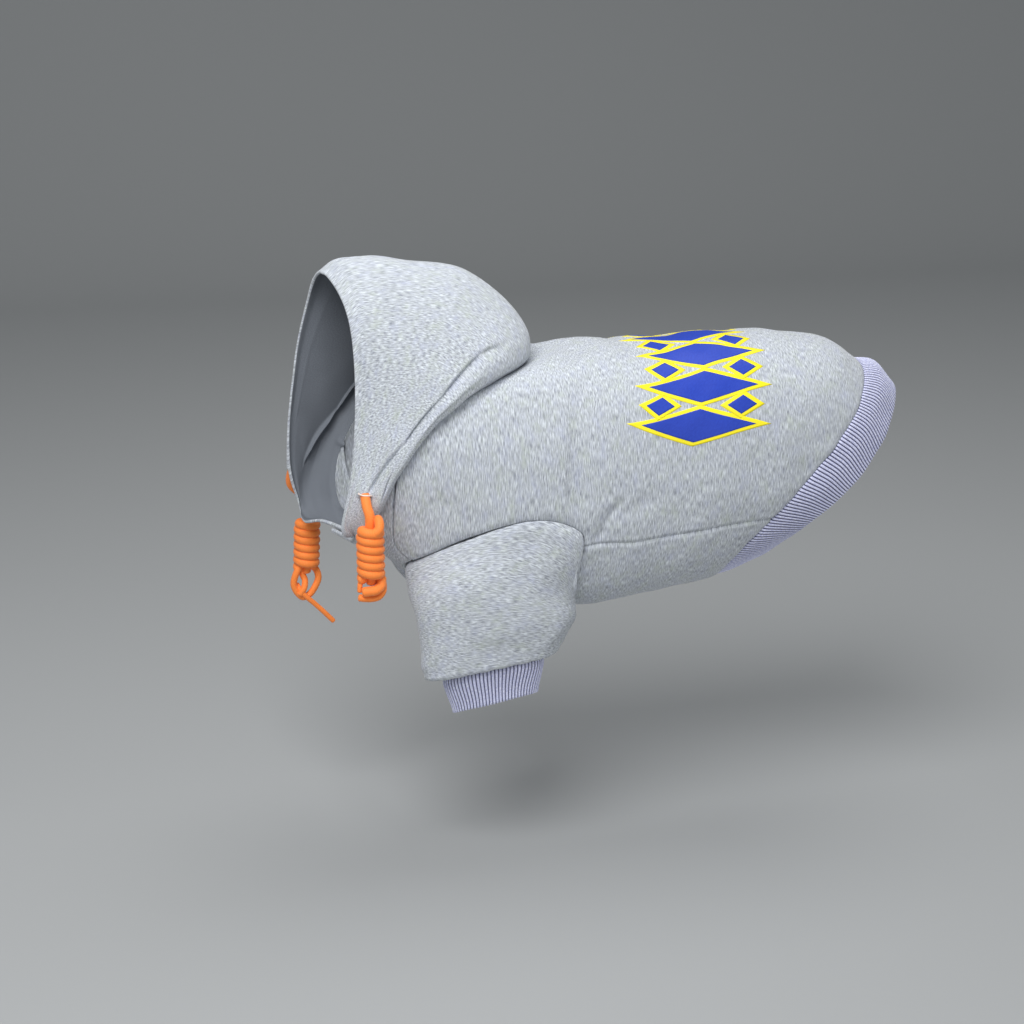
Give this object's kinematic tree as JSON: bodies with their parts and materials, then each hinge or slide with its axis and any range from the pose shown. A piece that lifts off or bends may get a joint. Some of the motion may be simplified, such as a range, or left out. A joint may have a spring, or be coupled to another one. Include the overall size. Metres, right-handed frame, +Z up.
{
  "type": "pet hoodie",
  "caption": "Pullover hoodie for a small dog in heather fleece, with a raised hood, drawcord with coil knots, short sleeves and ribbed cuffs and hem.",
  "frame": {"origin": "at the withers, on the inside of the back where the cloth lies on the wearer", "axes": "+X from the head to the tail, +Z up, -Y to the wearer's left"},
  "size_m": [0.4317, 0.1418, 0.3166],
  "materials": {
    "fleece": "light grey marl brushed fleece",
    "rib": "lavender-blue ribbed knit",
    "cord": "orange round woven cord"
  },
  "bodies": {
    "root": {"back_panel": "fleece", "chest_panel": "fleece", "hood_left": "fleece", "hood_right": "fleece", "left_sleeve": "fleece", "right_sleeve": "fleece", "hem_band": "rib", "left_cuff": "rib", "right_cuff": "rib", "left_cord": "cord", "right_cord": "cord", "left_knot": "cord", "right_knot": "cord"}
  },
  "joints": []
}
